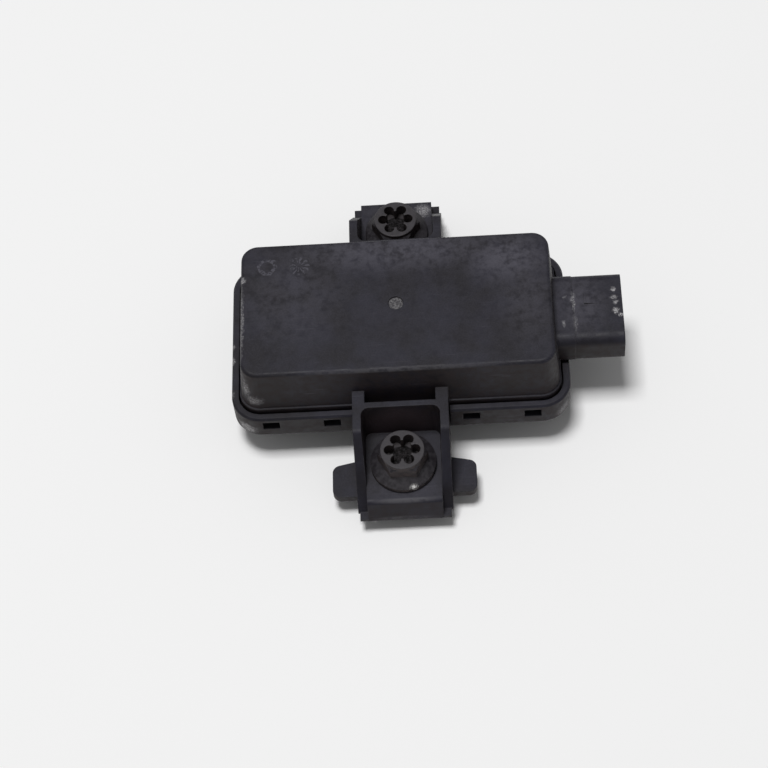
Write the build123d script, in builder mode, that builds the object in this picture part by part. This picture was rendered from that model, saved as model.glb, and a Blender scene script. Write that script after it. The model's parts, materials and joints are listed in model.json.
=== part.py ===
from build123d import *
import os

os.makedirs("parts", exist_ok=True)

# Tyre pressure control unit: a radio receiver box bolted to a car body by two flange bolts.
# Millimetres, +Z up. Z = 0 is the mounting plane under the brackets, midway between the bolts.
# +X points along the plug shroud, -Y is the side of the bracket that has ears.

# Housing cover
cover_length = 71.0
cover_width = 35.4
cover_corner = 3.8
foot_corner_growth = 0.6
cover_top = 24.3
cover_flare_x = 1.0
cover_flare_y = 1.1
cover_edge_round = 0.9
cover_wall = 1.7
cover_roof = 2.0
bead_height = 1.2
bead_step = 0.4
gate_radius = 1.75
gate_depth = 0.3

# Base lid and its rim
rim_top = 10.7
lid_bottom = 3.3
lid_floor = 2.0
rim_wall = 1.6
rim_gap = 0.45
rim_edge = 0.5
lid_edge = 0.8
fit_gap = 0.3
seal_height = 1.3
field_depth = 0.3
field_inset = 9.0

# Snap windows in the rim
window_width = 3.9
window_height = 2.8
window_top_below_rim = 1.35
window_from_bracket = 5.1
window_from_end = 8.95

# Bolts
thread_radius = 3.0
shank_radius = 2.65
bolt_projection = 4.4
bolt_lift = 0.3
head_height = 6.55
flange_radius = 7.5
flange_edge = 1.1
flange_cone_top = 2.7
hex_across_flats = 10.0
crown_spread = 0.05
crown_height = 0.9
crown_edge = 0.15
crown_reach = 2.5
recess_wall = 0.85
lobe_depth = 1.75
lobe_radius = 1.2
recess_depth = 3.4
tip_chamfer = 0.9

# Compression sleeves
sleeve_clearance = 0.3
sleeve_wall = 1.4

# Brackets, measured along Y from the bolt axis
bolt_reach = 10.35
bracket_wall = 2.3
flange_clearance = 1.05
bracket_floor = 5.6
bracket_floor_thick = 2.2
bracket_wall_height = 11.1
toe_height = 0.8
flat_before_bolt = 2.7
slope_past_bolt = 9.3
end_past_bolt = 11.3
lip_lean = 1.7
bar_before_bolt = 8.4
bracket_bar = 1.75
bracket_draft = 2.0
bracket_lip_round = 1.2
bracket_corner = 1.5
pocket_inset = 0.5
toe_inset = 0.45
boss_wall = 1.5

# Ears on the front bracket, measured along Y from the bolt axis
ear_reach = 5.65
ear_thick = 2.0
ear_root_before_bolt = 3.2
ear_tip_before_bolt = 2.0
ear_past_bolt = 5.9
ear_corner = 1.9

# Plug shroud, measured along X from the foot of the cover or back from its mouth
plug_reach = 15.2
plug_width = 19.0
plug_height = 9.0
plug_corner = 2.5
plug_centre_z = 14.2
plug_wall = 1.3
collar_reach = 3.9
collar_step = 0.15
socket_depth = 12.1
partition_thick = 2.2
catch_setback = 8.8
catch_length = 3.7
catch_width = 3.2
catch_height = 0.25
catch_offset = 2.3
key_rib_width = 1.0
key_rib_height = 0.7
key_rib_offset = 5.2

# Circuit board, its posts and its pins
board_thick = 1.6
board_bottom = 7.7
board_gap = 0.35
post_size = 3.4
post_from_end = 4.5
post_from_side = 4.2
pin_size = 0.8
pin_pitch = 3.2
pin_count = 4
pin_recess = 5.3
pin_from_end = 3.3
pin_bend = 1.0
pin_below_board = 0.8
pin_hole = 1.4

# Chips on the board, placed along it as shares of its half length
chip_leg = 0.1
chip_edge = 0.2
leg_reach = 1.0
controller_share = 0.06
controller_y = 2.0
controller_size = 10.0
controller_height = 1.5
controller_pitch = 0.8
controller_legs = 11
receiver_share = -0.38
receiver_y = -5.0
receiver_length = 9.7
receiver_width = 4.4
receiver_height = 1.2
receiver_pitch = 0.65
receiver_legs = 14
transceiver_share = 0.52
transceiver_from_side = 7.8
transceiver_length = 4.9
transceiver_width = 3.9
transceiver_height = 1.6
transceiver_pitch = 1.27
transceiver_legs = 4
regulator_share = 0.54
regulator_from_side = 8.8
regulator_length = 6.6
regulator_width = 6.1
regulator_height = 2.3
regulator_pitch = 2.28
regulator_legs = 3

# Other parts on the board, placed in the same way
capacitor_share = 0.23
capacitor_from_side = 6.8
capacitor_radius = 3.15
capacitor_height = 7.7
capacitor_foot = 6.6
capacitor_foot_height = 1.3
can_edge = 0.5
crystal_share = -0.35
crystal_y = 4.5
crystal_length = 11.0
crystal_width = 4.6
crystal_end = 2.2
crystal_height = 3.4
filter_share = -0.65
filter_y = -5.0
filter_size = 3.8
filter_height = 1.0
filter_lid = 3.2
filter_lid_corner = 0.4
filter_lid_height = 0.4
antenna_share = -0.73
antenna_half = 8.0
antenna_height = 9.2
antenna_bend = 2.0
antenna_width = 2.0
antenna_thick = 0.6

# Derived sizes of the cover and the lid
foot_length = cover_length + 2 * cover_flare_x
foot_width = cover_width + 2 * cover_flare_y
foot_corner = cover_corner + foot_corner_growth
skirt_length = foot_length + 2 * bead_step
skirt_width = foot_width + 2 * bead_step
skirt_corner = foot_corner + bead_step
bead_top = rim_top + bead_height
lid_inner_length = skirt_length + 2 * rim_gap
lid_inner_width = skirt_width + 2 * rim_gap
lid_inner_corner = skirt_corner + rim_gap
rim_length = lid_inner_length + 2 * rim_wall
rim_width = lid_inner_width + 2 * rim_wall
rim_corner = lid_inner_corner + rim_wall
lid_floor_top = lid_bottom + lid_floor
skirt_bottom = lid_floor_top + seal_height
cavity_top = cover_top - cover_roof
cavity_length = skirt_length - 2 * cover_wall
cavity_width = skirt_width - 2 * cover_wall
cavity_top_length = cover_length - 2 * cover_wall
cavity_top_width = cover_width - 2 * cover_wall
cavity_corner = cover_corner - cover_wall

# Derived sizes of the bolts and the brackets
bolt_y = rim_width / 2 + bolt_reach
seat_z = bracket_floor + bolt_lift
head_top = seat_z + head_height
crown_radius = hex_across_flats / 2 + crown_spread
crown_outer = hex_across_flats / 2 + crown_reach
crown_foot = head_top - crown_height
lobe_outer = hex_across_flats / 2 - recess_wall
sleeve_bore = thread_radius + sleeve_clearance
sleeve_radius = sleeve_bore + sleeve_wall
boss_radius = sleeve_radius + boss_wall
channel_half = flange_radius + flange_clearance
half_bracket = channel_half + bracket_wall
bracket_wall_top = bracket_floor + bracket_wall_height
bracket_flat_end = bolt_y - flat_before_bolt
bracket_slope_end = bolt_y + slope_past_bolt
bracket_end = bolt_y + end_past_bolt
bracket_bar_front = bolt_y - bar_before_bolt
lip_top_end = bracket_end - lip_lean
bracket_root = foot_width / 2 - cover_wall
bracket_foot_start = rim_width / 2 + fit_gap
ear_tip_x = half_bracket + ear_reach
window_xs = [
    side * x
    for side in (-1, 1)
    for x in (half_bracket + window_from_bracket, rim_length / 2 - window_from_end)
]
window_z = rim_top - window_top_below_rim - window_height / 2

# Derived sizes of the plug and the board
plug_end = foot_length / 2 + plug_reach
collar_end = foot_length / 2 + collar_reach
socket_floor = plug_end - socket_depth
partition_back = socket_floor - partition_thick
socket_width = plug_width - 2 * plug_wall
socket_height = plug_height - 2 * plug_wall
catch_start = plug_end - catch_setback
catch_base = plug_centre_z + plug_height / 2
board_top = board_bottom + board_thick
board_length = cavity_length - 4 * board_gap
board_width = cavity_width - 4 * board_gap
board_end = board_length / 2
board_side = board_width / 2
post_x = board_end - post_from_end
post_y = board_side - post_from_side
pin_tip = plug_end - pin_recess
pin_drop_x = board_end - pin_from_end
antenna_x = antenna_share * board_end
antenna_top = board_top + antenna_height
capacitor_centre = (capacitor_share * board_end, capacitor_from_side - board_side)
crystal_centre = (crystal_share * board_end, crystal_y)
filter_centre = (filter_share * board_end, filter_y)

# How far cutting tools run past a face, and how near an edge lies to a place it is picked by
past = 1.0
near = 0.01


# Rear bracket: a U-channel with cheeks that slope to two toes, a floor with a leaning lip, hollow below
with BuildPart() as bracket:
    with BuildSketch(Plane.YZ):
        with BuildLine():
            Polyline(
                (bracket_root, skirt_bottom),
                (bracket_root, bracket_wall_top),
                (bracket_flat_end, bracket_wall_top),
                (bracket_slope_end, toe_height),
                (bracket_end, toe_height),
                (bracket_end, 0),
                (bracket_foot_start, 0),
                (bracket_foot_start, skirt_bottom),
                close=True,
            )
        make_face()
    extrude(amount=half_bracket, both=True)
    knee_edges = bracket.edges().filter_by(Axis.X).filter_by_position(
        Axis.Y, bracket_flat_end - near, bracket_flat_end + near
    )
    fillet(knee_edges, bracket_corner)
    # The toes are a little narrower than the cheeks
    with BuildSketch(Plane.XY):
        with Locations((-half_bracket, bracket_end), (half_bracket, bracket_end)):
            Rectangle(2 * toe_inset, 2 * (bracket_end - bracket_slope_end))
    extrude(amount=bracket_wall_top, mode=Mode.SUBTRACT)
    # Channel above the floor, drafted, with rounded rear corners
    channel_end = bracket_end + 4 * past
    with BuildSketch(Plane.XY.offset(bracket_floor)):
        with Locations((0, (bracket_bar_front + channel_end) / 2)):
            Rectangle(2 * channel_half, channel_end - bracket_bar_front)
        fillet(vertices().group_by(Axis.Y)[0], bracket_corner)
    extrude(amount=bracket_wall_height + past, taper=-bracket_draft, mode=Mode.SUBTRACT)
    # Floor with its leaning lip, rolled over at the free end, in place of the cheeks' middle
    lip_root = bracket_slope_end - 4 * past
    with BuildSketch(Plane.XY):
        with Locations((0, (lip_root + channel_end) / 2)):
            Rectangle(2 * channel_half, channel_end - lip_root)
    extrude(amount=bracket_floor, mode=Mode.SUBTRACT)
    with BuildSketch(Plane.YZ):
        with BuildLine():
            Polyline(
                (bracket_foot_start, 0),
                (bracket_foot_start, bracket_floor),
                (lip_top_end, bracket_floor),
                (bracket_end, 0),
                close=True,
            )
        make_face()
    extrude(amount=channel_half, both=True)
    lip_edges = bracket.edges().filter_by(Axis.X).filter_by_position(
        Axis.Y, lip_top_end - near, lip_top_end + near
    )
    fillet(lip_edges, bracket_lip_round)
    # Pocket between the cross bar and the cover wall
    pocket_end = bracket_bar_front - bracket_bar
    with BuildSketch(Plane.XY.offset(skirt_bottom + bracket_floor_thick)):
        with Locations((0, (bracket_root + pocket_end) / 2)):
            Rectangle(2 * (channel_half - pocket_inset), pocket_end - bracket_root)
    extrude(amount=bracket_wall_top, mode=Mode.SUBTRACT)
    # Hollow underside with a boss for the compression sleeve
    with BuildSketch(Plane.XY):
        with Locations((0, (bracket_foot_start + bracket_end) / 2)):
            Rectangle(2 * channel_half, bracket_end - bracket_foot_start - 2 * bracket_wall)
    extrude(amount=bracket_floor - bracket_floor_thick, mode=Mode.SUBTRACT)
    with BuildSketch(Plane.XY):
        with Locations((0, bolt_y)):
            Circle(boss_radius)
    extrude(amount=bracket_floor - bracket_floor_thick / 2)
    with BuildSketch(Plane.XY):
        with Locations((0, bolt_y)):
            Circle(sleeve_radius)
    extrude(amount=bracket_floor + past, mode=Mode.SUBTRACT)

# Housing: drafted cover, skirt, brackets, ears and plug shroud in one moulding
with BuildPart() as housing:
    with BuildSketch(Plane.XY.offset(bead_top)):
        RectangleRounded(foot_length, foot_width, foot_corner)
    with BuildSketch(Plane.XY.offset(cover_top)):
        RectangleRounded(cover_length, cover_width, cover_corner)
    loft()
    fillet(housing.faces().sort_by(Axis.Z)[-1].edges(), cover_edge_round)
    with BuildSketch(Plane.XY.offset(skirt_bottom)):
        RectangleRounded(skirt_length, skirt_width, skirt_corner)
    extrude(amount=bead_top - skirt_bottom)
    add(bracket.part)
    mirror(bracket.part, about=Plane.XZ)
    # Ears of the front bracket, tapering outward
    ear_root_x = half_bracket - bracket_wall / 2
    for side in (-1, 1):
        with BuildSketch(Plane.XY):
            with BuildLine():
                Polyline(
                    (side * ear_root_x, ear_root_before_bolt - bolt_y),
                    (side * half_bracket, ear_root_before_bolt - bolt_y),
                    (side * ear_tip_x, ear_tip_before_bolt - bolt_y),
                    (side * ear_tip_x, -bolt_y - ear_past_bolt),
                    (side * ear_root_x, -bolt_y - ear_past_bolt),
                    close=True,
                )
            make_face()
            ear_tips = vertices().filter_by_position(Axis.X, side * ear_tip_x - near, side * ear_tip_x + near)
            fillet(ear_tips, ear_corner)
        extrude(amount=ear_thick)
    # Plug shroud with its collar
    with BuildSketch(Plane.YZ.offset(cavity_length / 2 - past)):
        with Locations((0, plug_centre_z)):
            RectangleRounded(
                plug_width + 2 * collar_step, plug_height + 2 * collar_step, plug_corner + collar_step
            )
    extrude(amount=collar_end - cavity_length / 2 + past)
    with BuildSketch(Plane.YZ.offset(collar_end)):
        with Locations((0, plug_centre_z)):
            RectangleRounded(plug_width, plug_height, plug_corner)
    extrude(amount=plug_end - collar_end)
    # Inside of the cover
    with BuildSketch(Plane.XY.offset(skirt_bottom)):
        RectangleRounded(cavity_length, cavity_width, cavity_corner)
    with BuildSketch(Plane.XY.offset(cavity_top)):
        RectangleRounded(cavity_top_length, cavity_top_width, cavity_corner)
    loft(mode=Mode.SUBTRACT)
    # Socket, with two key ribs under its roof
    with BuildSketch(Plane.YZ.offset(socket_floor)):
        with Locations((0, plug_centre_z)):
            RectangleRounded(socket_width, socket_height, plug_corner - plug_wall)
        with Locations(
            (-key_rib_offset, plug_centre_z + socket_height / 2),
            (key_rib_offset, plug_centre_z + socket_height / 2),
        ):
            Rectangle(key_rib_width, 2 * key_rib_height, mode=Mode.SUBTRACT)
    extrude(amount=socket_depth, mode=Mode.SUBTRACT)
    # Hollow behind the partition that carries the pins
    with BuildSketch(Plane.YZ.offset(cavity_top_length / 2 - past)):
        with Locations((0, plug_centre_z)):
            RectangleRounded(socket_width - 2 * past, socket_height - past, past)
    extrude(amount=partition_back - cavity_top_length / 2 + past, mode=Mode.SUBTRACT)
    with BuildSketch(Plane.YZ.offset(partition_back - past)):
        with Locations((0, plug_centre_z)):
            with GridLocations(pin_pitch, 0, pin_count, 1):
                Rectangle(pin_size, pin_size)
    extrude(amount=partition_thick + 2 * past, mode=Mode.SUBTRACT)
    # Latch catch: a ramp on the shroud's top
    with BuildSketch(Plane.XZ.offset(-catch_offset - catch_width / 2)):
        with BuildLine():
            Polyline(
                (catch_start, catch_base - catch_height),
                (catch_start, catch_base + catch_height),
                (catch_start + catch_length / 3, catch_base + catch_height),
                (catch_start + catch_length, catch_base),
                (catch_start + catch_length, catch_base - catch_height),
                close=True,
            )
        make_face()
    extrude(amount=catch_width)
    # Dimple of the moulding gate in the middle of the top
    with BuildSketch(Plane.XY.offset(cover_top)):
        Circle(gate_radius)
    extrude(amount=-gate_depth, mode=Mode.SUBTRACT)
    # Posts that hold the board down
    with BuildSketch(Plane.XY.offset(board_top)):
        with GridLocations(2 * post_x, 2 * post_y, 2, 2):
            Rectangle(post_size, post_size)
    extrude(amount=cavity_top + cover_roof / 2 - board_top)
    # Snap noses behind the rim windows
    nose_root = skirt_width / 2 - cover_wall / 2
    nose_reach = skirt_width / 2 + rim_gap + rim_wall / 2
    nose_low = window_z - window_height / 2 + fit_gap
    nose_high = window_z + window_height / 2 - fit_gap
    for nose_x in window_xs:
        for side in (-1, 1):
            with BuildSketch(Plane.YZ.offset(nose_x - window_width / 2 + fit_gap)):
                with BuildLine():
                    Polyline(
                        (side * nose_root, nose_low),
                        (side * skirt_width / 2, nose_low),
                        (side * nose_reach, nose_high - fit_gap),
                        (side * nose_reach, nose_high),
                        (side * nose_root, nose_high),
                        close=True,
                    )
                make_face()
            extrude(amount=window_width - 2 * fit_gap)
housing.part.label = "housing"
export_step(housing.part, "parts/housing.step")

# Base lid: tray whose rim stands round the skirt, cut away for the brackets and the plug
with BuildPart() as base_lid:
    with BuildSketch(Plane.XY.offset(lid_bottom)):
        RectangleRounded(rim_length, rim_width, rim_corner)
    extrude(amount=rim_top - lid_bottom)
    chamfer(base_lid.faces().sort_by(Axis.Z)[-1].edges(), rim_edge)
    chamfer(base_lid.faces().sort_by(Axis.Z)[0].edges(), lid_edge)
    with BuildSketch(Plane.XY.offset(lid_floor_top)):
        RectangleRounded(lid_inner_length, lid_inner_width, lid_inner_corner)
    extrude(amount=rim_top, mode=Mode.SUBTRACT)
    with BuildSketch(Plane.XY.offset(lid_floor_top)):
        Rectangle(2 * (half_bracket + fit_gap), rim_width + 2 * past)
    extrude(amount=rim_top, mode=Mode.SUBTRACT)
    notch_bottom = plug_centre_z - plug_height / 2 - collar_step - fit_gap
    with BuildSketch(Plane.XY.offset(notch_bottom)):
        with Locations((rim_length / 2, 0)):
            Rectangle(4 * rim_wall, plug_width + 2 * (collar_step + fit_gap))
    extrude(amount=rim_top, mode=Mode.SUBTRACT)
    # Snap windows through both long walls
    with BuildSketch(Plane.XZ.offset(-rim_width)):
        with Locations([(window_x, window_z) for window_x in window_xs]):
            Rectangle(window_width, window_height)
    extrude(amount=2 * rim_width, mode=Mode.SUBTRACT)
    # Shallow bare field underneath and posts under the board
    with BuildSketch(Plane.XY.offset(lid_bottom)):
        RectangleRounded(rim_length - 2 * field_inset, rim_width - 2 * field_inset, rim_corner / 2)
    extrude(amount=field_depth, mode=Mode.SUBTRACT)
    with BuildSketch(Plane.XY.offset(lid_floor_top - lid_floor / 2)):
        with GridLocations(2 * post_x, 2 * post_y, 2, 2):
            Rectangle(post_size, post_size)
    extrude(amount=board_bottom - lid_floor_top + lid_floor / 2)
base_lid.part.label = "base_lid"
export_step(base_lid.part, "parts/base_lid.step")

# Rubber ring between the skirt and the lid floor
with BuildPart() as seal:
    with BuildSketch(Plane.XY.offset(lid_floor_top)):
        RectangleRounded(skirt_length - fit_gap, skirt_width - fit_gap, skirt_corner - fit_gap / 2)
        RectangleRounded(
            cavity_length + fit_gap, cavity_width + fit_gap, cavity_corner + fit_gap / 2, mode=Mode.SUBTRACT
        )
    extrude(amount=skirt_bottom - lid_floor_top)
seal.part.label = "seal"
export_step(seal.part, "parts/seal.step")

# Circuit board with holes for the pins
with BuildPart() as circuit_board:
    with BuildSketch(Plane.XY.offset(board_bottom)):
        RectangleRounded(board_length, board_width, cavity_corner)
        with Locations((pin_drop_x, 0)):
            with GridLocations(0, pin_pitch, 1, pin_count):
                Rectangle(pin_hole, pin_hole, mode=Mode.SUBTRACT)
    extrude(amount=board_thick)
circuit_board.part.label = "circuit_board"
export_step(circuit_board.part, "parts/circuit_board.step")


def chip(label, centre, length, width, height, legs, pitch):
    """A moulded chip with a row of gull-wing legs along both long sides, one solid on the board."""
    with BuildPart() as body:
        with BuildSketch(Plane.XY.offset(board_top + chip_leg)):
            with Locations(centre):
                Rectangle(length, width)
        extrude(amount=height - chip_leg)
        chamfer(body.faces().sort_by(Axis.Z)[-1].edges(), chip_edge)
        with BuildSketch(Plane.XY.offset(board_top)):
            with Locations(centre):
                with GridLocations(pitch, 0, legs, 1):
                    Rectangle(pitch / 2, width + 2 * leg_reach)
        extrude(amount=2 * chip_leg)
    body.part.label = label
    export_step(body.part, "parts/" + label + ".step")


chip(
    "microcontroller",
    (controller_share * board_end, controller_y),
    controller_size,
    controller_size,
    controller_height,
    legs=controller_legs,
    pitch=controller_pitch,
)
chip(
    "receiver_chip",
    (receiver_share * board_end, receiver_y),
    receiver_length,
    receiver_width,
    receiver_height,
    legs=receiver_legs,
    pitch=receiver_pitch,
)
chip(
    "bus_transceiver",
    (transceiver_share * board_end, transceiver_from_side - board_side),
    transceiver_length,
    transceiver_width,
    transceiver_height,
    legs=transceiver_legs,
    pitch=transceiver_pitch,
)
chip(
    "voltage_regulator",
    (regulator_share * board_end, board_side - regulator_from_side),
    regulator_length,
    regulator_width,
    regulator_height,
    legs=regulator_legs,
    pitch=regulator_pitch,
)

# Electrolytic capacitor on its square foot
with BuildPart() as capacitor:
    with BuildSketch(Plane.XY.offset(board_top)):
        with Locations(capacitor_centre):
            Rectangle(capacitor_foot, capacitor_foot)
    extrude(amount=capacitor_foot_height)
    with BuildSketch(Plane.XY.offset(board_top)):
        with Locations(capacitor_centre):
            Circle(capacitor_radius)
    extrude(amount=capacitor_height)
    chamfer(capacitor.faces().sort_by(Axis.Z)[-1].edges(), can_edge)
capacitor.part.label = "capacitor"
export_step(capacitor.part, "parts/capacitor.step")

# Crystal can
with BuildPart() as crystal:
    with BuildSketch(Plane.XY.offset(board_top)):
        with Locations(crystal_centre):
            RectangleRounded(crystal_length, crystal_width, crystal_end)
    extrude(amount=crystal_height)
    chamfer(crystal.faces().sort_by(Axis.Z)[-1].edges(), can_edge)
crystal.part.label = "crystal"
export_step(crystal.part, "parts/crystal.step")

# Radio band filter with its lid
with BuildPart() as band_filter:
    with BuildSketch(Plane.XY.offset(board_top)):
        with Locations(filter_centre):
            Rectangle(filter_size, filter_size)
    extrude(amount=filter_height)
    with BuildSketch(Plane.XY.offset(board_top + filter_height)):
        with Locations(filter_centre):
            RectangleRounded(filter_lid, filter_lid, filter_lid_corner)
    extrude(amount=filter_lid_height)
band_filter.part.label = "band_filter"
export_step(band_filter.part, "parts/band_filter.step")

# Antenna: a bent strip standing on the board
with BuildPart() as antenna:
    with BuildLine():
        FilletPolyline(
            (antenna_x, -antenna_half, board_top),
            (antenna_x, -antenna_half, antenna_top),
            (antenna_x, antenna_half, antenna_top),
            (antenna_x, antenna_half, board_top),
            radius=antenna_bend,
        )
    with BuildSketch(Plane.XY.offset(board_top)):
        with Locations((antenna_x, -antenna_half)):
            Rectangle(antenna_width, antenna_thick)
    sweep()
antenna.part.label = "antenna"
export_step(antenna.part, "parts/antenna.step")

# Pins: square wire from the socket, bent down through the board
for number in range(pin_count):
    pin_y = (number - (pin_count - 1) / 2) * pin_pitch
    with BuildPart() as terminal:
        with BuildLine():
            FilletPolyline(
                (pin_tip, pin_y, plug_centre_z),
                (pin_drop_x, pin_y, plug_centre_z),
                (pin_drop_x, pin_y, board_bottom - pin_below_board),
                radius=pin_bend,
            )
        with BuildSketch(Plane.YZ.offset(pin_tip)):
            with Locations((pin_y, plug_centre_z)):
                Rectangle(pin_size, pin_size)
        sweep()
        chamfer(terminal.faces().sort_by(Axis.X)[-1].edges(), pin_size / 4)
    terminal_name = "terminal_" + str(number + 1)
    terminal.part.label = terminal_name
    export_step(terminal.part, "parts/" + terminal_name + ".step")


def sleeve(label, y):
    """Steel tube through the bracket boss, flush with the floor and the mounting plane."""
    with BuildPart() as tube:
        with BuildSketch(Plane.XY):
            with Locations((0, y)):
                Circle(sleeve_radius)
                Circle(sleeve_bore, mode=Mode.SUBTRACT)
        extrude(amount=bracket_floor)
    tube.part.label = label
    export_step(tube.part, "parts/" + label + ".step")


sleeve("front_sleeve", -bolt_y)
sleeve("rear_sleeve", bolt_y)


def flange_bolt(label, y):
    """Flange bolt: hex with a round crown and a six-lobe recess, conical flange, thin shank, threaded end."""
    bolt_axis = Axis((0, y, 0), (0, 0, 1))
    with BuildPart() as bolt:
        with BuildSketch(Plane.XY.offset(seat_z)):
            with Locations((0, y)):
                RegularPolygon(hex_across_flats / 2, 6, major_radius=False)
        extrude(amount=head_height)
        # Crown: the hex corners are turned round at the top
        with BuildSketch(Plane.XZ.offset(-y)):
            with BuildLine():
                Polyline(
                    (0, seat_z),
                    (crown_outer, seat_z),
                    (crown_outer, crown_foot - (crown_outer - crown_radius)),
                    (crown_radius, crown_foot),
                    (crown_radius, head_top - crown_edge),
                    (crown_radius - crown_edge, head_top),
                    (0, head_top),
                    close=True,
                )
            make_face()
        revolve(axis=bolt_axis, mode=Mode.INTERSECT)
        # Flange with its cone, the thin shank and the threaded end in one turned profile
        with BuildSketch(Plane.XZ.offset(-y)):
            with BuildLine():
                Polyline(
                    (0, -bolt_projection),
                    (thread_radius - tip_chamfer, -bolt_projection),
                    (thread_radius, tip_chamfer - bolt_projection),
                    (thread_radius, 0),
                    (shank_radius, 0),
                    (shank_radius, seat_z),
                    (flange_radius, seat_z),
                    (flange_radius, seat_z + flange_edge),
                    (hex_across_flats / 2, seat_z + flange_cone_top),
                    (0, seat_z + flange_cone_top),
                    close=True,
                )
            make_face()
        revolve(axis=bolt_axis)
        with BuildSketch(Plane.XY.offset(head_top)):
            with Locations((0, y)):
                Circle(lobe_outer - lobe_depth)
                with PolarLocations(lobe_outer - lobe_radius, 6):
                    Circle(lobe_radius)
        extrude(amount=-recess_depth, mode=Mode.SUBTRACT)
    bolt.part.label = label
    export_step(bolt.part, "parts/" + label + ".step")


flange_bolt("front_bolt", -bolt_y)
flange_bolt("rear_bolt", bolt_y)
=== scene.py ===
import json
import math

import bmesh
import bpy
from mathutils import Matrix, Vector, noise


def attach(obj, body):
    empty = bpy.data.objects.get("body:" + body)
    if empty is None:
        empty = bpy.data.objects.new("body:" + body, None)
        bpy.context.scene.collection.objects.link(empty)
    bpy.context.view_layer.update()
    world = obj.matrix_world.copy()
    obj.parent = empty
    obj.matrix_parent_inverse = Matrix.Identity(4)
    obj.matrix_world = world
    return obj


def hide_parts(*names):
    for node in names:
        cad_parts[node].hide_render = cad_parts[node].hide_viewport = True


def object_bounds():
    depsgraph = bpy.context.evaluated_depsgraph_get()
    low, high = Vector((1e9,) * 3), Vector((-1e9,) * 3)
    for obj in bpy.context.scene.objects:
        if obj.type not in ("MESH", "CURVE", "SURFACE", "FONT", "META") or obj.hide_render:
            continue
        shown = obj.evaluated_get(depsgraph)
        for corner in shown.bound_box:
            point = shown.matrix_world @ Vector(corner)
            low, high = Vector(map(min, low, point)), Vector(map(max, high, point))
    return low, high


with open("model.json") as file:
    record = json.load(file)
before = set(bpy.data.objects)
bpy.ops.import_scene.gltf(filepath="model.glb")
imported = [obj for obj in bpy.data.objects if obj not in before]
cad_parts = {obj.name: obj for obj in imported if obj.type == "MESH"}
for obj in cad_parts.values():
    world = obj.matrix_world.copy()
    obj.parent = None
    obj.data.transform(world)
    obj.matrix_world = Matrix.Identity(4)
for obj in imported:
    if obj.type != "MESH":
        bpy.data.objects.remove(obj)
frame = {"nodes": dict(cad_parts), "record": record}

# Looks of a tyre pressure control unit: black moulded plastic, dusty and scuffed, with two coated bolts.
# Metres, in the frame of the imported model. MM turns the millimetres of a drawing into metres.
MM = 0.001
cad_low, cad_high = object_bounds()
nodes = frame["nodes"]
scene = bpy.context.scene


# Camera, at the angle of the photograph
camera_elevation = math.radians(58.92)
camera_yaw = math.radians(-4.56)
camera_roll = math.radians(6.77)
camera_distance = 524.03 * MM
camera_aim_right = -4.83 * MM
camera_aim_up = -11.01 * MM
camera_aim_height = 10.7 * MM
focal_length_pixels = 2250.85
image_width_pixels = 768
sensor_width = 36.0
nearest_seen = 0.01
farthest_seen = 20.0


def make_camera():
    """The camera stands on a sphere round the part, turned by yaw about Z and by roll about its own axis."""
    right = Vector((1, 0, 0))
    up = Vector((0, math.sin(camera_elevation), math.cos(camera_elevation)))
    forward = Vector((0, math.cos(camera_elevation), -math.sin(camera_elevation)))
    turn = Matrix.Rotation(-camera_yaw, 3, "Z")
    place = camera_aim_right * right + camera_aim_up * up - camera_distance * forward
    side_axis = turn @ (math.cos(camera_roll) * right - math.sin(camera_roll) * up)
    up_axis = turn @ (math.sin(camera_roll) * right + math.cos(camera_roll) * up)
    back_axis = -(turn @ forward)
    rotation = Matrix((side_axis, up_axis, back_axis)).transposed().to_4x4()
    data = bpy.data.cameras.new("camera")
    data.sensor_width = sensor_width
    data.lens = focal_length_pixels * sensor_width / image_width_pixels
    data.clip_start = nearest_seen
    data.clip_end = farthest_seen
    camera = bpy.data.objects.new("camera", data)
    scene.collection.objects.link(camera)
    camera.matrix_world = Matrix.Translation(turn @ place + Vector((0, 0, camera_aim_height))) @ rotation
    scene.camera = camera


# Stage: a pale table, one soft light overhead and a little to the left, and an even white surround
floor_half = 3.0
floor_grey = 0.92
floor_rough = 0.9
floor_specular = 0.1
key_size = 0.50
key_place = Vector((-0.20, 0.02, 1.9))
key_energy = 27.2
surround_strength = 0.23


def make_stage():
    mesh = bpy.data.meshes.new("floor")
    z = cad_low.z
    corners = [(-floor_half, -floor_half, z), (floor_half, -floor_half, z), (floor_half, floor_half, z)]
    corners.append((-floor_half, floor_half, z))
    mesh.from_pydata(corners, [], [(0, 1, 2, 3)])
    floor = bpy.data.objects.new("floor", mesh)
    scene.collection.objects.link(floor)
    material = bpy.data.materials.new("floor")
    material.use_nodes = True
    shader = material.node_tree.nodes["Principled BSDF"]
    shader.inputs["Base Color"].default_value = (floor_grey, floor_grey, floor_grey, 1.0)
    shader.inputs["Roughness"].default_value = floor_rough
    shader.inputs["Specular IOR Level"].default_value = floor_specular
    mesh.materials.append(material)
    light = bpy.data.lights.new("key", "AREA")
    light.size = key_size
    light.energy = key_energy
    key = bpy.data.objects.new("key", light)
    key.location = key_place
    key.rotation_euler = key_place.to_track_quat("Z", "Y").to_euler()
    scene.collection.objects.link(key)
    world = bpy.data.worlds.new("surround")
    world.use_nodes = True
    background = world.node_tree.nodes["Background"]
    background.inputs["Color"].default_value = (1.0, 1.0, 1.0, 1.0)
    background.inputs["Strength"].default_value = surround_strength
    scene.world = world
    scene.view_settings.view_transform = "Standard"


# Helpers that build materials: every value is either a number or the socket of an earlier node
def start(name):
    material = bpy.data.materials.new(name)
    material.use_nodes = True
    return material, material.node_tree


def put(socket, value, tree):
    if isinstance(value, bpy.types.NodeSocket):
        tree.links.new(value, socket)
    else:
        socket.default_value = value


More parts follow.
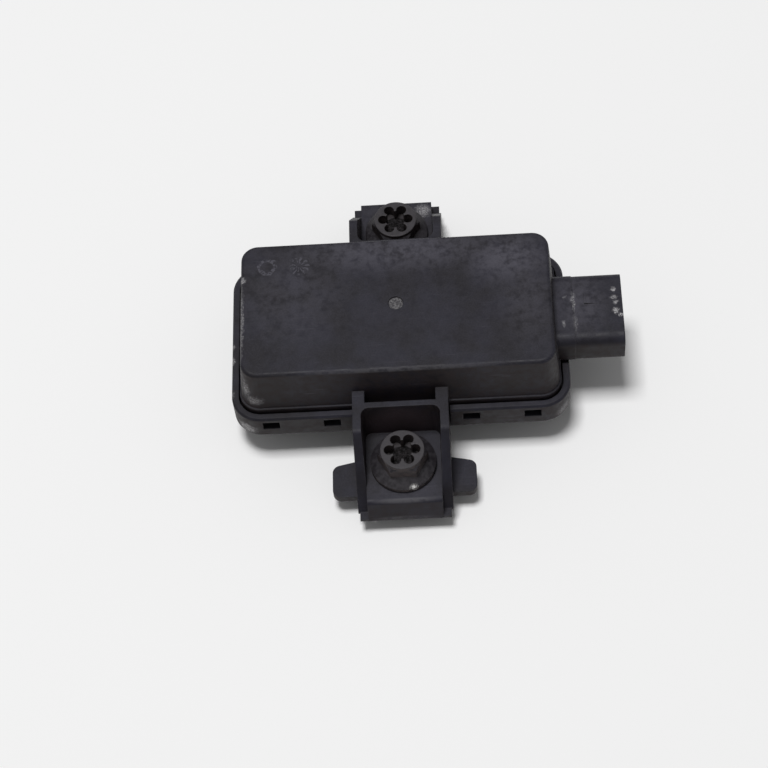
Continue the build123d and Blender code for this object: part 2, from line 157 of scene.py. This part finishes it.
def maths(tree, operation, first, second=0.0, clamp=False):
    node = tree.nodes.new("ShaderNodeMath")
    node.operation = operation
    node.use_clamp = clamp
    put(node.inputs[0], first, tree)
    put(node.inputs[1], second, tree)
    return node.outputs[0]


def vector_maths(tree, operation, first, second=None, scale=None):
    node = tree.nodes.new("ShaderNodeVectorMath")
    node.operation = operation
    put(node.inputs[0], first, tree)
    if second is not None:
        put(node.inputs[1], second, tree)
    if scale is not None:
        node.inputs["Scale"].default_value = scale
    return node


def span(tree, value, low, high, from_value=0.0, to_value=1.0):
    """Smooth step of a value between two limits."""
    node = tree.nodes.new("ShaderNodeMapRange")
    node.interpolation_type = "SMOOTHSTEP"
    put(node.inputs["Value"], value, tree)
    node.inputs["From Min"].default_value = low
    node.inputs["From Max"].default_value = high
    node.inputs["To Min"].default_value = from_value
    node.inputs["To Max"].default_value = to_value
    return node.outputs["Result"]


def blend(tree, share, first, second):
    """Mix of two colours; colours are given as three numbers or a socket."""
    node = tree.nodes.new("ShaderNodeMix")
    node.data_type = "RGBA"
    put(node.inputs["Factor"], share, tree)
    for name, value in (("A", first), ("B", second)):
        socket = [s for s in node.inputs if s.name == name and s.type == "RGBA"][0]
        put(socket, value if isinstance(value, bpy.types.NodeSocket) else (*value, 1.0), tree)
    return [s for s in node.outputs if s.type == "RGBA"][0]


def grain(tree, place, per_mm, detail=3.0, roughness=0.55, stretch=None, turn=0.0):
    """Noise in the part's own millimetres, with about per_mm lumps to a millimetre."""
    if stretch is not None or turn:
        mapping = tree.nodes.new("ShaderNodeMapping")
        put(mapping.inputs["Vector"], place, tree)
        mapping.inputs["Rotation"].default_value = (0.0, 0.0, turn)
        mapping.inputs["Scale"].default_value = stretch or (1.0, 1.0, 1.0)
        place = mapping.outputs["Vector"]
    node = tree.nodes.new("ShaderNodeTexNoise")
    put(node.inputs["Vector"], place, tree)
    node.inputs["Scale"].default_value = per_mm
    node.inputs["Detail"].default_value = detail
    node.inputs["Roughness"].default_value = roughness
    return node.outputs["Fac"]


def millimetres(tree):
    """Place on the part in millimetres of its own frame."""
    coordinates = tree.nodes.new("ShaderNodeTexCoord")
    return vector_maths(tree, "SCALE", coordinates.outputs["Object"], scale=1.0 / MM).outputs["Vector"]


def ragged(tree, place, per_mm, reach):
    """Place pushed about by noise, so that masks made from it get ragged outlines."""
    node = tree.nodes.new("ShaderNodeTexNoise")
    put(node.inputs["Vector"], place, tree)
    node.inputs["Scale"].default_value = per_mm
    node.inputs["Detail"].default_value = 3.0
    centred = vector_maths(tree, "SUBTRACT", node.outputs["Color"], (0.5, 0.5, 0.5)).outputs["Vector"]
    pushed = vector_maths(tree, "SCALE", centred, scale=2 * reach).outputs["Vector"]
    return vector_maths(tree, "ADD", place, pushed).outputs["Vector"]


def spot(tree, place, centre, radii, edge=0.45):
    """Soft ellipsoid mask: one in the middle, nothing outside the radii."""
    offset = vector_maths(tree, "SUBTRACT", place, centre).outputs["Vector"]
    scaled = vector_maths(tree, "DIVIDE", offset, radii).outputs["Vector"]
    distance = vector_maths(tree, "LENGTH", scaled).outputs["Value"]
    return span(tree, distance, edge, 1.0, 1.0, 0.0)


def tick_ring(tree, place, centre, inner, outer, ticks, fill):
    """Ring of radial ticks round a centre on the top face; a low fill joins the ticks to a band."""
    offset = vector_maths(tree, "SUBTRACT", place, centre).outputs["Vector"]
    split = tree.nodes.new("ShaderNodeSeparateXYZ")
    put(split.inputs[0], offset, tree)
    angle = maths(tree, "ARCTAN2", split.outputs["Y"], split.outputs["X"])
    wave = maths(tree, "SINE", maths(tree, "MULTIPLY", angle, float(ticks)))
    distance = vector_maths(tree, "LENGTH", offset).outputs["Value"]
    soft = 0.12
    outside = span(tree, distance, inner - soft, inner)
    inside = span(tree, distance, outer, outer + soft, 1.0, 0.0)
    band = maths(tree, "MULTIPLY", outside, inside)
    return maths(tree, "MULTIPLY", span(tree, wave, fill, fill + 0.6), band)


def facing_up(tree):
    geometry = tree.nodes.new("ShaderNodeNewGeometry")
    split = tree.nodes.new("ShaderNodeSeparateXYZ")
    put(split.inputs[0], geometry.outputs["Normal"], tree)
    return split.outputs["Z"]


def rounded_normal(tree, radius):
    node = tree.nodes.new("ShaderNodeBevel")
    node.samples = 4
    node.inputs["Radius"].default_value = radius
    return node.outputs["Normal"]


def edge_mask(tree, soft_normal):
    """One along the edges, where the rounded normal leaves the face's own normal."""
    geometry = tree.nodes.new("ShaderNodeNewGeometry")
    along = vector_maths(tree, "DOT_PRODUCT", soft_normal, geometry.outputs["Normal"]).outputs["Value"]
    return span(tree, along, 0.72, 0.99, 1.0, 0.0)


def crevice(tree, distance, inside=False):
    node = tree.nodes.new("ShaderNodeAmbientOcclusion")
    node.samples = 6
    node.inside = inside
    node.inputs["Distance"].default_value = distance
    return node.outputs["AO"]


def bump(tree, height, strength, depth, normal=None):
    node = tree.nodes.new("ShaderNodeBump")
    node.inputs["Strength"].default_value = strength
    node.inputs["Distance"].default_value = depth
    put(node.inputs["Height"], height, tree)
    if normal is not None:
        put(node.inputs["Normal"], normal, tree)
    return node.outputs["Normal"]


def finish_shader(tree, colour, rough, normal, metal=0.0, specular=0.5):
    shader = tree.nodes["Principled BSDF"]
    put(shader.inputs["Base Color"], colour, tree)
    put(shader.inputs["Roughness"], rough, tree)
    put(shader.inputs["Metallic"], metal, tree)
    put(shader.inputs["Specular IOR Level"], specular, tree)
    if normal is not None:
        put(shader.inputs["Normal"], normal, tree)


# Colours of the plastic, its dust and scuff marks, of painted shade, painted fill light and painted
# highlights, linear
plastic_dark = (0.0100, 0.0088, 0.0115)
plastic_blue = (0.0168, 0.0162, 0.0245)
dust_grey = (0.082, 0.079, 0.098)
dust_brown = (0.028, 0.020, 0.020)
# white of scuff marks and of painted highlights
scuff_and_highlight_white = (0.42, 0.41, 0.42)
# pale of edge wear and of painted edge highlights
edge_grey = (0.085, 0.082, 0.090)
# painted shade in corners, and the dark hub of the moulded rings
painted_shade_and_hub_dark = (0.010, 0.007, 0.008)
# painted brown fill light for shaded walls
painted_fill_brown = (0.080, 0.058, 0.066)
grain_depth = 0.03 * MM
plastic_edge_round = 0.35 * MM

# Scuffed places on the housing, some of them painted highlights: centre, radii and strength, in millimetres
# of the part's frame
housing_scuffs_and_highlights = [
    ((-35.4, -17.6, 18.5), (1.6, 1.8, 4.5), 0.95),
    ((-33.6, -18.3, 14.6), (3.4, 1.4, 2.2), 0.55),
    ((-35.4, -3.0, 24.2), (0.8, 14.0, 1.2), 0.50),
    ((-35.2, 8.2, 24.2), (1.0, 1.2, 1.2), 0.90),
    ((49.9, 4.3, 18.7), (0.9, 0.9, 1.2), 1.0),
    ((49.7, 2.2, 18.7), (0.9, 0.7, 1.2), 0.6),
    ((50.2, 0.9, 18.7), (0.9, 0.8, 1.2), 0.8),
    ((50.0, -1.4, 18.7), (1.1, 1.2, 1.2), 1.0),
    ((51.1, -2.6, 18.7), (0.7, 0.7, 1.2), 1.0),
    # painted highlights: the lit edge of the collar step on the plug
    ((40.5, 1.4, 18.8), (0.7, 3.6, 1.2), 0.55),
    ((40.6, -4.4, 18.8), (0.7, 3.4, 1.2), 0.25),
    ((38.0, -4.6, 18.8), (0.6, 1.3, 0.6), 0.45),
    ((38.3, 2.7, 18.8), (0.8, 0.5, 0.6), 0.40),
    # painted highlights: the brightly lit slopes of the rear bracket
    ((-10.0, 36.0, 8.4), (1.6, 2.0, 2.6), 0.80),
    ((10.0, 34.0, 10.0), (1.6, 3.2, 3.2), 0.70),
    ((6.5, 38.5, 5.6), (2.6, 2.6, 1.6), 0.65),
]
lid_scuffs_and_highlight = [
    ((-36.0, -20.2, 5.8), (3.4, 2.6, 2.8), 1.0),
    ((-38.6, -14.0, 10.2), (0.7, 1.0, 0.8), 0.70),
    ((-38.6, -5.0, 10.4), (0.6, 1.6, 0.7), 0.70),
    ((-38.6, -1.0, 10.4), (0.6, 1.0, 0.7), 0.60),
    # painted highlight: the lit front right corner of the lid's rim
    ((37.0, -19.0, 5.6), (3.2, 3.0, 2.4), 0.45),
]
# Dusty fields on the top: centre, radii and strength
dust_fields = [
    ((26.0, 11.0, 24.3), (14.0, 10.0, 3.0), 0.80),
    ((-24.0, 4.0, 24.3), (18.0, 20.0, 3.0), 0.30),
    ((0.0, 14.5, 24.3), (36.0, 8.0, 3.0), 0.70),
    ((30.0, 0.0, 24.3), (9.0, 18.0, 4.0), 0.35),
    ((42.0, 1.0, 18.8), (9.0, 12.0, 3.0), 0.60),
    ((0.0, -34.0, 5.6), (13.0, 13.0, 2.0), 0.45),
    ((0.0, 34.0, 5.6), (13.0, 13.0, 2.0), 0.45),
    ((20.0, -20.5, 10.4), (24.0, 2.0, 1.5), 0.30),
]
# Painted highlights along long edges, and painted light over the cover's left wall: centre, radii and
# strength
painted_highlight_spots = [
    ((0.0, -17.7, 24.1), (36.0, 0.8, 0.9), 0.55),
    ((0.0, -40.9, 5.3), (9.0, 0.8, 0.8), 0.70),
    ((0.0, -42.7, 0.5), (9.5, 0.7, 0.9), 0.60),
    # painted light: the whole left wall of the cover made lighter
    ((-36.3, -2.0, 17.0), (1.2, 15.0, 7.0), 0.25),
]
# Painted brown fill light on the walls at the back of the channels: centre, radii and strength
painted_fill_places = [((0.0, -21.5, 8.0), (12.0, 4.0, 10.0), 0.8), ((0.0, 21.5, 8.0), (12.0, 4.0, 10.0), 0.8)]
# Rings of moulded ticks: centre, inner and outer radius, number of ticks and how far they are joined
ring_places = [((-29.5, 11.7, 24.3), 1.5, 2.3, 9, -1.2), ((-22.1, 11.5, 24.3), 0.4, 2.4, 11, -0.3)]


def sum_of_spots(tree, place, spots, edge):
    total = None
    for centre, radii, strength in spots:
        one = maths(tree, "MULTIPLY", spot(tree, place, centre, radii, edge), strength)
        total = one if total is None else maths(tree, "MAXIMUM", total, one)
    return total


def moulded_plastic(name, scuff_and_highlight_spots, fields, pale_marks, rings):
    """Black moulded plastic: fine grain, uneven colour, dust, brown dirt, edge wear and white scuff marks,
    with painted shade in corners, painted fill light on shaded walls and painted highlights.
    """
    material, tree = start(name)
    place = millimetres(tree)
    up = facing_up(tree)
    soft_normal = rounded_normal(tree, plastic_edge_round)
    edges = edge_mask(tree, soft_normal)
    open_sky = crevice(tree, 3.0 * MM)
    clouds = grain(tree, place, 0.09, detail=4.0)
    blotches = grain(tree, place, 0.55, detail=5.0, roughness=0.65)
    specks = grain(tree, place, 3.2, detail=3.0, roughness=0.7)
    pores = grain(tree, place, 7.0, detail=2.0)
    colour = blend(tree, span(tree, clouds, 0.35, 0.65), plastic_dark, plastic_blue)
    # Thin grey dust on faces that look up, thicker in the dusty fields
    speckled = span(tree, specks, 0.30, 0.66, 0.25, 1.0)
    patchy = maths(tree, "MULTIPLY", span(tree, blotches, 0.28, 0.76, 0.30, 0.95), speckled)
    upward = span(tree, up, 0.45, 0.95)
    dust = maths(tree, "MULTIPLY", maths(tree, "MULTIPLY", patchy, upward), 0.24)
    if fields:
        field = sum_of_spots(tree, place, fields, 0.1)
        thick = maths(tree, "MULTIPLY", field, span(tree, blotches, 0.30, 0.62, 0.15, 0.75))
        dust = maths(tree, "ADD", dust, maths(tree, "MULTIPLY", thick, upward), clamp=True)
    colour = blend(tree, dust, colour, dust_grey)
    # Brown dirt on upright walls, then painted brown fill light at the back of the channels and painted shade
    # in corners
    wall = span(tree, maths(tree, "ABSOLUTE", up), 0.55, 0.15, 0.0, 1.0)
    muddy = maths(tree, "MULTIPLY", wall, span(tree, blotches, 0.32, 0.66, 0.20, 0.75))
    colour = blend(tree, muddy, colour, dust_brown)
    # painted fill light: brown lightening of the shaded walls at the back of the channels
    painted_fill = sum_of_spots(tree, place, painted_fill_places, 0.5)
    colour = blend(tree, maths(tree, "MULTIPLY", painted_fill, wall), colour, painted_fill_brown)
    # painted shade: darker where the surface is hemmed in by nearby walls
    corner = maths(tree, "MULTIPLY", span(tree, open_sky, 0.35, 0.75, 1.0, 0.0), 0.4)
    colour = blend(tree, corner, colour, painted_shade_and_hub_dark)
    # Pale edges from wear, broken up along their length, and painted highlights along the long edges and on
    # the left wall
    pale_edges = maths(tree, "MULTIPLY", edges, span(tree, blotches, 0.38, 0.62, 0.15, 0.85))
    if pale_marks:
        highlight_places = sum_of_spots(tree, place, pale_marks, 0.3)
        painted_highlight = maths(tree, "MULTIPLY", highlight_places, span(tree, blotches, 0.35, 0.6, 0.3, 1.0))
        pale_edges = maths(tree, "MAXIMUM", pale_edges, painted_highlight)
    colour = blend(tree, pale_edges, colour, edge_grey)
    # Fine scratches in two directions
    for turn, share in ((0.35, 0.30), (-0.9, 0.22)):
        lines = grain(tree, place, 1.0, detail=1.0, stretch=(0.10, 4.5, 1.0), turn=turn)
        fine = maths(tree, "MULTIPLY", span(tree, lines, 0.70, 0.76), span(tree, clouds, 0.42, 0.6))
        colour = blend(tree, maths(tree, "MULTIPLY", fine, share), colour, dust_grey)
    # White scuff marks, with painted highlights among them on the collar step and the rear bracket
    torn = ragged(tree, place, 1.1, 0.8)
    broken = span(tree, specks, 0.40, 0.60, 0.12, 1.0)
    scuffs_and_highlights = maths(tree, "MULTIPLY", sum_of_spots(tree, torn, scuff_and_highlight_spots, 0.2), broken)
    colour = blend(tree, scuffs_and_highlights, colour, scuff_and_highlight_white)
    height = maths(tree, "ADD", maths(tree, "MULTIPLY", pores, 0.6), maths(tree, "MULTIPLY", specks, 0.5))
    worn_place = ragged(tree, place, 0.7, 0.7)
    gaps = grain(tree, place, 1.3, detail=2.0)
    for centre, inner, outer, ticks, fill in rings:
        ring = tick_ring(tree, worn_place, centre, inner, outer, ticks, fill)
        ring = maths(tree, "MULTIPLY", ring, span(tree, gaps, 0.42, 0.56, 0.05, 1.0))
        height = maths(tree, "ADD", height, maths(tree, "MULTIPLY", ring, 3.0))
        colour = blend(tree, maths(tree, "MULTIPLY", ring, 0.70), colour, dust_grey)
        hub = spot(tree, place, centre, (inner, inner, inner), 0.8)
        colour = blend(tree, maths(tree, "MULTIPLY", hub, 0.10), colour, painted_shade_and_hub_dark)
    normal = bump(tree, height, 0.55, grain_depth, soft_normal)
    rough = span(tree, blotches, 0.3, 0.7, 0.42, 0.64)
    finish_shader(tree, colour, rough, normal, specular=0.20)
    return material


# Colours of the bolts, linear
bolt_dark = (0.018, 0.016, 0.019)
bolt_grey = (0.034, 0.031, 0.036)
bolt_crown = (0.046, 0.042, 0.047)
# painted shade for the recess and other hollows
bolt_painted_shade = (0.016, 0.011, 0.011)
# Height at which the rubbed crown begins and ends, and the bare chip on the front flange
crown_begin = 11.3
crown_end = 12.3
chip_place = (2.2, -38.4, 6.9)
chip_radii = (1.3, 1.0, 1.2)
bolt_brown = (0.074, 0.058, 0.056)
bolt_edge = (0.130, 0.120, 0.120)
bolt_chip = (0.75, 0.74, 0.72)


def coated_steel(name):
    """Dark coated steel of the bolts: pale on the crown from wear, brown dirt on upright faces, the recess
    walls among them, and painted shade darkening the recess and other hollows.
    """
    material, tree = start(name)
    place = millimetres(tree)
    up = facing_up(tree)
    soft_normal = rounded_normal(tree, 0.30 * MM)
    edges = edge_mask(tree, soft_normal)
    open_sky = crevice(tree, 2.2 * MM)
    blotches = grain(tree, place, 0.9, detail=5.0, roughness=0.65)
    specks = grain(tree, place, 4.0, detail=3.0, roughness=0.7)
    colour = blend(tree, span(tree, blotches, 0.35, 0.65), bolt_dark, bolt_grey)
    split = tree.nodes.new("ShaderNodeSeparateXYZ")
    put(split.inputs[0], place, tree)
    crown = span(tree, split.outputs["Z"], crown_begin, crown_end)
    on_top = maths(tree, "MULTIPLY", crown, span(tree, up, 0.3, 0.8))
    pale_marks = maths(tree, "MULTIPLY", on_top, span(tree, specks, 0.3, 0.6, 0.35, 0.8))
    colour = blend(tree, pale_marks, colour, bolt_crown)
    side = span(tree, maths(tree, "ABSOLUTE", up), 0.6, 0.2, 0.0, 1.0)
    rusty = maths(tree, "MULTIPLY", side, span(tree, blotches, 0.4, 0.6, 0.3, 0.8))
    colour = blend(tree, rusty, colour, bolt_brown)
    pale_edges = maths(tree, "MULTIPLY", edges, span(tree, specks, 0.4, 0.6, 0.2, 0.8))
    colour = blend(tree, pale_edges, colour, bolt_edge)
    # painted shade: darker in the recess and other hollows
    colour = blend(tree, span(tree, open_sky, 0.25, 0.62, 0.92, 0.0), colour, bolt_painted_shade)
    chip = spot(tree, ragged(tree, place, 1.3, 0.5), chip_place, chip_radii, 0.2)
    colour = blend(tree, maths(tree, "MULTIPLY", chip, span(tree, specks, 0.42, 0.56)), colour, bolt_chip)
    normal = bump(tree, maths(tree, "ADD", specks, blotches), 0.35, 0.04 * MM, soft_normal)
    finish_shader(tree, colour, span(tree, blotches, 0.3, 0.7, 0.38, 0.62), normal, metal=0.15, specular=0.35)
    return material


# Colours of tarnish in corners and of dull edges, linear
tarnish_brown = (0.05, 0.04, 0.03)
dull_grey = (0.10, 0.10, 0.10)


def plain_metal(name, first, second, rough, stretch=None):
    """Bright metal with drawn lines, uneven tarnish and dark corners."""
    material, tree = start(name)
    place = millimetres(tree)
    soft_normal = rounded_normal(tree, 0.12 * MM)
    blotches = grain(tree, place, 0.8, detail=4.0)
    lines = grain(tree, place, 6.0, detail=2.0, stretch=stretch or (1.0, 1.0, 0.15))
    colour = blend(tree, span(tree, blotches, 0.35, 0.65), first, second)
    colour = blend(tree, span(tree, crevice(tree, 1.0 * MM), 0.3, 0.8, 0.6, 0.0), colour, tarnish_brown)
    normal = bump(tree, lines, 0.25, 0.01 * MM, soft_normal)
    finish_shader(tree, colour, span(tree, lines, 0.3, 0.7, rough, rough + 0.2), normal, metal=0.9)
    return material


def resin(name, first, second, rough):
    """Moulded or laminated matter with a fine pitted skin."""
    material, tree = start(name)
    place = millimetres(tree)
    soft_normal = rounded_normal(tree, 0.12 * MM)
    blotches = grain(tree, place, 0.5, detail=4.0)
    pits = grain(tree, place, 9.0, detail=2.0)
    colour = blend(tree, span(tree, blotches, 0.35, 0.65), first, second)
    dull = maths(tree, "MULTIPLY", edge_mask(tree, soft_normal), 0.4)
    colour = blend(tree, dull, colour, dull_grey)
    normal = bump(tree, pits, 0.3, 0.015 * MM, soft_normal)
    finish_shader(tree, colour, span(tree, blotches, 0.3, 0.7, rough, rough + 0.15), normal)
    return material


def dirt(name, first, second):
    """Dry crumbly dirt."""
    material, tree = start(name)
    place = millimetres(tree)
    lumps = grain(tree, place, 1.8, detail=5.0, roughness=0.7)
    colour = blend(tree, span(tree, lumps, 0.42, 0.6), first, second)
    finish_shader(tree, colour, 0.9, bump(tree, lumps, 0.8, 0.15 * MM), specular=0.2)
    return material


materials = {
    "housing_plastic": moulded_plastic(
        "housing_plastic", housing_scuffs_and_highlights, dust_fields, painted_highlight_spots, ring_places
    ),
    "lid_plastic": moulded_plastic("lid_plastic", lid_scuffs_and_highlight, [], [], []),
    "bolt_steel": coated_steel("bolt_steel"),
    "sleeve_steel": plain_metal("sleeve_steel", (0.52, 0.51, 0.49), (0.36, 0.35, 0.33), 0.30),
    "can_metal": plain_metal("can_metal", (0.68, 0.69, 0.70), (0.55, 0.56, 0.58), 0.28),
    "contact_metal": plain_metal("contact_metal", (0.72, 0.66, 0.50), (0.58, 0.50, 0.34), 0.25),
    "seal_rubber": resin("seal_rubber", (0.020, 0.020, 0.021), (0.030, 0.029, 0.030), 0.7),
    "board_laminate": resin("board_laminate", (0.012, 0.085, 0.032), (0.018, 0.120, 0.050), 0.35),
    "chip_resin": resin("chip_resin", (0.018, 0.018, 0.019), (0.028, 0.028, 0.029), 0.55),
}
gate_grey = dirt("gate_mark", (0.055, 0.053, 0.058), (0.150, 0.146, 0.150))
recess_brown = dirt("recess_dirt", (0.003, 0.0025, 0.0025), (0.026, 0.023, 0.025))


def dress_nodes():
    for entry in frame["record"]["subparts"]:
        mesh = nodes[entry["node"]].data
        mesh.materials.clear()
        mesh.materials.append(materials[entry["material_slot"]])


# Bolt pieces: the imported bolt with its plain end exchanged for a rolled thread
bolt_y = 31.6 * MM
thread_crest = 3.0 * MM
thread_root = 2.5 * MM
thread_pitch = 1.0 * MM
thread_end = -4.4 * MM
tip_length = 0.9 * MM
thread_turn_steps = 40
thread_steps_per_pitch = 10
plane_tolerance = 0.02 * MM


def thread_radius_at(z, angle):
    """Rounded vee of the thread at one height and angle, running out into the cone at the tip."""
    phase = (z / thread_pitch - angle / (2 * math.pi)) % 1.0
    vee = 1.0 - abs(2.0 * phase - 1.0)
    level = min(max((vee - 0.12) / 0.72, 0.0), 1.0)
    radius = thread_root + (thread_crest - thread_root) * level
    cone = thread_crest - max(0.0, tip_length - (z - thread_end))
    return min(radius, cone)


def threaded_bolt(name, node_name, body, y):
    source = nodes[node_name].data
    build = bmesh.new()
    build.from_mesh(source)
    below = [face for face in build.faces if all(v.co.z < plane_tolerance for v in face.verts)]
    bmesh.ops.delete(build, geom=below, context="FACES")
    steps = int(round(-thread_end / thread_pitch * thread_steps_per_pitch))
    rings = []
    for row in range(steps + 1):
        z = thread_end * row / steps
        ring = []
        for step in range(thread_turn_steps):
            angle = 2 * math.pi * step / thread_turn_steps
            radius = thread_radius_at(z, angle)
            ring.append(build.verts.new((radius * math.cos(angle), y + radius * math.sin(angle), z)))
        rings.append(ring)
    for upper, lower in zip(rings, rings[1:]):
        for step in range(thread_turn_steps):
            after = (step + 1) % thread_turn_steps
            build.faces.new((upper[step], lower[step], lower[after], upper[after]))
    build.faces.new(list(reversed(rings[-1])))
    build.faces.new(rings[0])
    mesh = bpy.data.meshes.new(name)
    build.to_mesh(mesh)
    build.free()
    mesh.materials.clear()
    mesh.materials.append(materials["bolt_steel"])
    piece = bpy.data.objects.new(name, mesh)
    scene.collection.objects.link(piece)
    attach(piece, body)
    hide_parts(node_name)


def crumbly_disc(name, centre, radius, base, height, material, body, seed):
    """Uneven mound of dirt or torn plastic on a flat floor."""
    rings = 14
    around = 44
    points = [(centre[0], centre[1], base + height * MM)]
    for ring in range(1, rings + 1):
        share = ring / rings
        for step in range(around):
            angle = 2 * math.pi * step / around
            wobble = 1.0 + 0.10 * noise.noise(Vector((math.cos(angle) * 2, math.sin(angle) * 2, seed)))
            x = centre[0] + radius * share * wobble * math.cos(angle)
            y = centre[1] + radius * share * wobble * math.sin(angle)
            lump = noise.fractal(Vector((x, y, seed * MM)) / MM * 0.9, 0.6, 2.0, 4)
            level = (1.0 - share ** 2) * (0.55 + 0.75 * lump)
            points.append((x, y, base + max(level, 0.0) * height * MM))
    faces = [(0, 1 + step, 1 + (step + 1) % around) for step in range(around)]
    for ring in range(rings - 1):
        first = 1 + ring * around
        for step in range(around):
            after = (step + 1) % around
            faces.append((first + step, first + around + step, first + around + after, first + after))
    mesh = bpy.data.meshes.new(name)
    mesh.from_pydata(points, [], faces)
    mesh.shade_smooth()
    mesh.materials.append(material)
    piece = bpy.data.objects.new(name, mesh)
    scene.collection.objects.link(piece)
    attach(piece, body)
    return piece


# Dirt in the recess of each bolt and the torn gate mark on the cover; heights of both in millimetres
recess_floor = 9.05 * MM
mound_radius = 3.3 * MM
mound_shift = 0.5 * MM
mound_height = 1.5
gate_floor = 24.0 * MM
gate_radius = 1.6 * MM
gate_height = 0.22
make_camera()
make_stage()
dress_nodes()
for side, label in ((-1, "front"), (1, "rear")):
    y = side * bolt_y
    body = "bolt_" + label
    threaded_bolt(label + "_threaded_bolt", label + "_bolt", body, y)
    middle = (0.0, y - mound_shift)
    name = label + "_recess_dirt"
    seed = 3.0 + side
    mound = crumbly_disc(name, middle, mound_radius, recess_floor, mound_height, recess_brown, body, seed)
gate = crumbly_disc("gate_mark", (0.0, 0.0), gate_radius, gate_floor, gate_height, gate_grey, "case", 7.0)
